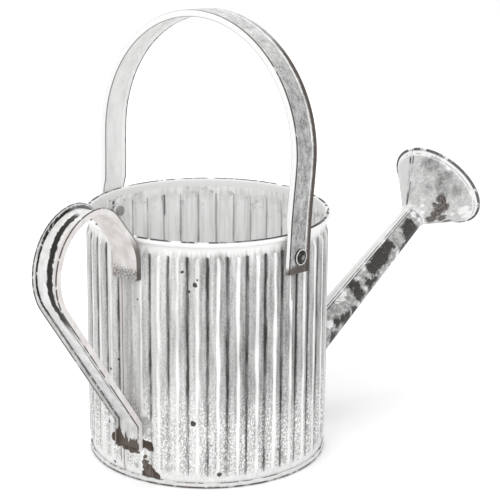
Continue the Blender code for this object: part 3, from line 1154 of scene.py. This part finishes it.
def paintHandleChannel():
    paint = Finish("handleChannelWash", 0.45)
    across = paint.attribute("across")
    z = paint.z
    mottle = paint.cloud(0.005, 1.4, 5, 2.2)
    shade = 0.8 + mottle.sway(0.9) - z.between(0.15, 0.06) * 0.1
    paint.ground(shade, "zinc", "white")
    loop = z.between(0.15, 0.172) * paint.x.between(-0.15, -0.158)
    paint.layer(across.between(-0.3, -0.4) * z.between(0.14, 0.16), "blush")
    ragged = paint.cloud(0.0034, 3.9, 6, 1.4, 0.68).sway(0.34)
    middle = abs(across + 0.1 + z.between(0.2, 0.235) * -0.16 + ragged)
    streak = middle.between(0.2, 0.12) * z.between(0.136, 0.158) * paint.x.between(-0.152, -0.16)
    paint.layer(streak, "dark")
    flecks = paint.cloud(0.0032, 4.7, 5, 1.6, 0.7).between(0.62, 0.68) * across.between(0.2, -0.1)
    paint.layer(flecks * 0.7, "rust")
    low = abs(across + 0.12 + ragged * 0.6).between(0.085, 0.03)
    low = low * z.between(0.15, 0.135) * z.between(0.07, 0.09)
    paint.layer(low * 0.8, "zinc")
    band = abs(across - 0.73 + ragged * 0.4).between(0.115, 0.065)
    upper = (across + ragged * 1.3).between(0.68, 0.74) * (across + ragged).between(0.93, 0.85)
    upper = upper * z.between(0.204, 0.222)
    gaps = paint.cloud(0.005, 7.3, 5, rough=0.7).between(0.36, 0.46)
    paint.layer(band.over(upper) * gaps * (0.76 + loop * 0.24), "dark")
    # painted shadow: a dark line in the crease inside the near flange
    nearFlangeShadow = abs(across + 0.69 + ragged * 0.15).between(0.035, 0.012)
    paint.layer(nearFlangeShadow * 0.75, "dark")
    tips = abs(across).between(0.945, 0.975) * paint.cloud(0.009, 8.8).between(0.38, 0.48)
    paint.layer(tips * 0.85, "dark")
    spikes = paint.cloud(0.0028, 5.0, 3, 6).sway(0.03)
    foot = (z + spikes + abs(across).between(0.45, 0.7) * -0.006).between(0.0365, 0.0355)
    bareShade = paint.mix(paint.cloud(0.002, 0.6, 4, 3), "rust", "clay")
    paint.layer(foot, bareShade)
    paint.relief(mottle + streak)
    paint.coat(handle, 1)


def paintHandleSmooth():
    paint = Finish("handleBlush")
    across = paint.attribute("across")
    z = paint.z
    mottle = paint.cloud(0.008, 2.4, 5, 1.6)
    grain = paint.cloud(0.0014, 4.2, 3)
    pale = paint.mix(mottle.between(0.3, 0.7) * 0.6, "blush", "white")
    front = paint.x.between(-0.14, -0.132) * z.between(0.14, 0.15)
    end = (z + grain.sway(0.01)).between(0.1835, 0.1775) * front
    speckle = paint.mix(grain.between(0.4, 0.62), "rust", "wash")
    paint.ground(end * 0.8, pale, speckle)
    pits = paint.cloud(0.0048, 6.6, 2, 0.5).between(0.7, 0.76)
    paint.layer(pits * 0.5, "rust")
    # painted shade: the near flange of the upper tab darkened, laid in the rust tone
    flank = across.between(-0.68, -0.72) * front * z.between(0.212, 0.196)
    flank = flank.over(across.between(-0.9, -0.95) * front * 0.95)
    paint.layer(flank * 0.86, "rust")
    lowFlank = across.between(-0.945, -0.97) * (1 - front) * paint.cloud(0.008, 3.6).between(0.36, 0.48)
    paint.layer(lowFlank * 0.9, "dark")
    leftFold = across.between(0.66, 0.69) * 0.6
    paint.layer(leftFold, "dark")
    bits = paint.cloud(0.006, 1.2, 4, 1.3).between(0.42, 0.52)
    leftFlange = across.between(0.8, 0.88) * z.between(0.14, 0.16) * bits
    paint.layer(leftFlange * 0.85, "dark")
    paint.gloss(0.4 + grain * 0.2)
    paint.relief(grain * (0.3 + end) + mottle, 0.25, 0.0006)
    paint.coat(handle, 0)


spoutPaint = {
    "dark": (
        (200, 252, 7.5), (195, 277, 6.5), (204, 292, 5), (190, 296, 5.5), (182, 290, 4.5),
        (168, 217, 5.5), (160, 220, 6), (153, 227, 6.5), (146, 230, 5.5), (139, 234, 5.5),
        (133, 262, 4), (126, 262, 4.8), (113, 213, 4.5), (109, 238, 4.5), (110, 262, 5),
        (97, 288, 4), (84, 284, 5), (79, 266, 3.5), (72, 256, 3.6), (60, 292, 5), (150, 30, 9),
        (95, 60, 10), (190, 100, 8), (70, 120, 8),
    ),
    "white": (
        (132, 198, 3.6), (119, 264, 3), (91, 202, 6.5), (103, 282, 3.5), (130, 247, 1.8),
        (134, 252, 1.5), (138, 258, 1.8), (144, 271, 1.6), (149, 279, 1.4), (154, 286, 1.8),
        (99, 205, 4), (64, 238, 4.5), (172, 288, 3.2), (162, 292, 2.6), (213, 222, 3.2),
        (215, 260, 2.6), (215, 295, 2.6), (120, 205, 3.5),
    ),
}


def paintSpout():
    paint = Finish("patchyZinc", 0.45)
    along, down, side = spoutPlaces(paint)
    mottle = paint.cloud(0.0042, 0.7, 6, rough=0.68)
    grain = paint.cloud(0.0014, 3.4, 3)
    wobble = paint.cloud(0.0062, 5.1, 6, rough=0.7).sway(0.016)
    dark = marks(paint, onTube, spoutPaint["dark"], wobble, 0.0026, 1.18)
    white = marks(paint, onTube, spoutPaint["white"], wobble * 0.7 + 0.0007, 0.001)
    shade = 0.42 + mottle.sway(1.6) + grain.sway(0.5) - dark * 0.58
    shade = shade.over(0.0) + white * 0.55
    strip = side.between(-0.004, -0.0034) * down.between(0.002, -0.002)
    shade = shade.over(strip * 0.88 + grain.sway(0.2))
    paint.ground(shade.under(1.0), "soot", "white")
    broken = paint.cloud(0.012, 9.4, 3).between(0.36, 0.5)
    for angle, width, strength in ((196.5, 0.0008, 0.72), (187.5, 0.0007, 0.8), (172.5, 0.0007, 0.6)):
        paint.layer(lineAt(down, side, angle, width) * broken * strength, "dark")
    scratch = abs(along - 0.082 + side * 0.85).between(0.0007, 0.0003) * side.between(-0.003, -0.005)
    paint.layer(scratch * 0.6, "dark")
    paint.gloss(0.34 + grain * 0.25)
    paint.relief(mottle + grain * 0.4)
    paint.coat(spout)


rosePaint = {
    "brown": (
        (239, 247, 3.6), (237, 265, 4.6), (233, 270, 3.8), (230.5, 278, 3.8), (225.5, 292, 3),
        (228, 300, 3), (235, 302, 3.6), (242, 322, 2.8), (233, 250, 1.6), (250, 60, 5),
        (235, 20, 4),
    ),
    "grey": (
        (252, 221, 8), (246, 226, 7), (243, 238, 6), (256, 195, 9), (252, 250, 6), (246, 240, 5),
        (240, 210, 4),
    ),
    "white": (
        (259, 219, 2.6), (252, 291, 6.5), (258, 306, 8), (261, 283, 3.5), (243, 294, 2.4),
        (228.5, 307, 0.9), (238, 286, 1.2), (231, 290, 0.6), (225, 222, 2.2), (222, 245, 2),
    ),
}


def paintRose():
    paint = Finish("mottledRose", 0.45)
    along, down, side = spoutPlaces(paint)
    mottle = paint.cloud(0.005, 1.7, 6, rough=0.66)
    grain = paint.cloud(0.0014, 2.4, 3)
    wobble = paint.cloud(0.006, 7.1, 6, rough=0.7).sway(0.014)
    grey = marks(paint, onRose, rosePaint["grey"], wobble, 0.005)
    brown = marks(paint, onRose, rosePaint["brown"], wobble, 0.0014, 1.45)
    white = marks(paint, onRose, rosePaint["white"], wobble * 0.8 + 0.0008, 0.0016)
    shade = 0.56 + mottle.sway(1.1) + grain.sway(0.6) - grey * 0.34
    seamTurn = math.radians(162)
    flank = (side * math.cos(seamTurn) - down * math.sin(seamTurn)).between(0.0, -0.0008)
    smooth = 0.66 + mottle.sway(0.15)
    flank = flank * along.between(0.221, 0.224)
    shade = shade * (1 - flank) + smooth * flank
    shade = shade + white * 0.5 + along.between(0.2585, 0.2605) * 0.5 + along.between(0.2235, 0.22) * 0.3
    paint.ground(shade.over(0.0).under(1.0), "zinc", "white")
    paint.layer(brown * (1 - white * 0.7) * (0.74 + grain.between(0.6, 0.42) * 0.26), "rust")
    broken = paint.cloud(0.009, 4.4).between(0.4, 0.52)
    for angle, strength in ((157.5, 0.75), (163.0, 0.85)):
        line = lineAt(down, side, angle, 0.0011) * broken
        line = line * along.between(0.219, 0.223) * along.between(0.262, 0.2605)
        paint.layer(line * strength, "dark")
    inner = abs(along - 0.2607).between(0.0006, 0.0002) * broken
    paint.layer(inner * 0.55, "zinc")
    lip = along.between(0.2628, 0.2634) * paint.cloud(0.01, 0.4).between(0.34, 0.46)
    paint.layer(lip * 0.85, "dark")
    paint.gloss(0.36 + grain * 0.25)
    paint.relief(mottle + grain * 0.4)
    paint.coat(rose)


def paintRoseFace():
    paint = Finish("roseFaceWash", 0.45)
    mottle = paint.cloud(0.007, 3.3, 6, rough=0.62)
    grain = paint.cloud(0.0014, 5.4, 3)
    shade = 0.66 + mottle.sway(1.1) + grain.sway(0.3)
    paint.ground(shade, "zinc", "white")
    worn = paint.cloud(0.011, 8.4, 5).between(0.64, 0.7)
    paint.layer(worn * 0.8, "rust")
    paint.relief(mottle + grain * 0.4)
    paint.coat(roseFace)


def paintSolder():
    paint = Finish("solderWash", 0.45)
    mottle = paint.cloud(0.0026, 0.6)
    paint.ground(mottle.between(0.3, 0.55), "wash", "white")
    paint.relief(mottle, 0.6, 0.0008)
    paint.coat(solder)


def paintSteel(name, word, dark, light, edge, metallic):
    # for pieces named by the word; bright and worn from so far (edge) out from the middle of the can, and
    # on the rivet heads this bright top is partly a painted highlight
    paint = Finish(name, 0.4, metallic=metallic)
    mottle = paint.cloud(0.0016, 1.6)
    worn = abs(paint.y).between(edge, edge + 0.0006).over(abs(paint.y).between(0.1, 0.099))
    paint.ground((worn * 0.8 + mottle.sway(0.7)).over(0.0), dark, light)
    paint.relief(mottle, 0.3, 0.0003)
    for piece in hardware:
        if piece.name.startswith(word):
            paint.coat(piece)


paintWallOutside()
paintWallInside()
paintHem()
paintWire()
paintBailOutside()
paintBailInside()
paintHandleChannel()
paintHandleSmooth()
paintSpout()
paintRose()
paintRoseFace()
paintSolder()
paintSteel("rivetSteel", "bailRivet", "dark", "wash", 0.1092, 0.4)
paintSteel("cupSteel", "cupWasher", "dark", "white", 0.1073, 0.0)
paintSteel("washerSteel", "innerWasher", "wash", "white", 0.093, 0.0)
print("finishes made")

# floor, light and camera

studio = {
    "floorSize": 14,
    "floorAt": (1.5, 1.5, -0.0004),
    "around": 0.93,
    "lampAim": (0, 0, 0.12),
    "lamps": (
        ("keyBox", (-1.3, -0.2, 1.5), 1.1, 10),
        ("fillBox", (-0.2, -1.7, 0.9), 1.2, 5),
        ("backBox", (0.9, 1.2, 1.6), 1.4, 10),
    ),
    "cameraAway": 1.45,
    "cameraHeight": 0.6086,
    "cameraSide": 47.5,
    "aimSide": 1.395,
    "aimDown": 16.80,
    "roll": 0.43,
    "lens": 131.3,
}


def makeStudio():
    letGo()
    bpy.ops.mesh.primitive_plane_add(size=studio["floorSize"], location=studio["floorAt"])
    floor = bpy.context.object
    floor.name = "floor"
    paper = Finish("palePaper", 0.9)
    paper.ground(paper.cloud(0.4), "paper", "palePaper")
    paper.coat(floor)
    world = bpy.data.worlds.new("softRoom")
    bpy.context.scene.world = world
    world.use_nodes = True
    air = world.node_tree.nodes["Background"]
    air.inputs["Color"].default_value = (1, 1, 1, 1)
    air.inputs["Strength"].default_value = studio["around"]
    for name, spot, size, power in studio["lamps"]:
        bpy.ops.object.light_add(type="AREA", location=spot)
        lamp = bpy.context.object
        lamp.name = name
        lamp.data.shape = "SQUARE"
        lamp.data.size = size
        lamp.data.energy = power
        aim = Vector(studio["lampAim"]) - Vector(spot)
        lamp.rotation_euler = aim.to_track_quat("-Z", "Y").to_euler()


def makeCamera():
    side = math.radians(studio["cameraSide"])
    back = studio["cameraAway"]
    bpy.ops.object.camera_add(
        location=(-back * math.sin(side), -back * math.cos(side), studio["cameraHeight"])
    )
    camera = bpy.context.object
    heading = -math.radians(studio["cameraSide"] + studio["aimSide"])
    turn = Matrix.Rotation(heading, 3, "Z")
    turn = turn @ Matrix.Rotation(math.radians(90 - studio["aimDown"]), 3, "X")
    turn = turn @ Matrix.Rotation(math.radians(studio["roll"]), 3, "Z")
    camera.rotation_euler = turn.to_euler()
    camera.data.lens = studio["lens"]
    camera.data.sensor_width = 36
    camera.data.clip_end = 50
    bpy.context.scene.camera = camera
    bpy.context.scene.view_settings.view_transform = "Standard"


makeStudio()
makeCamera()
print("studio set")
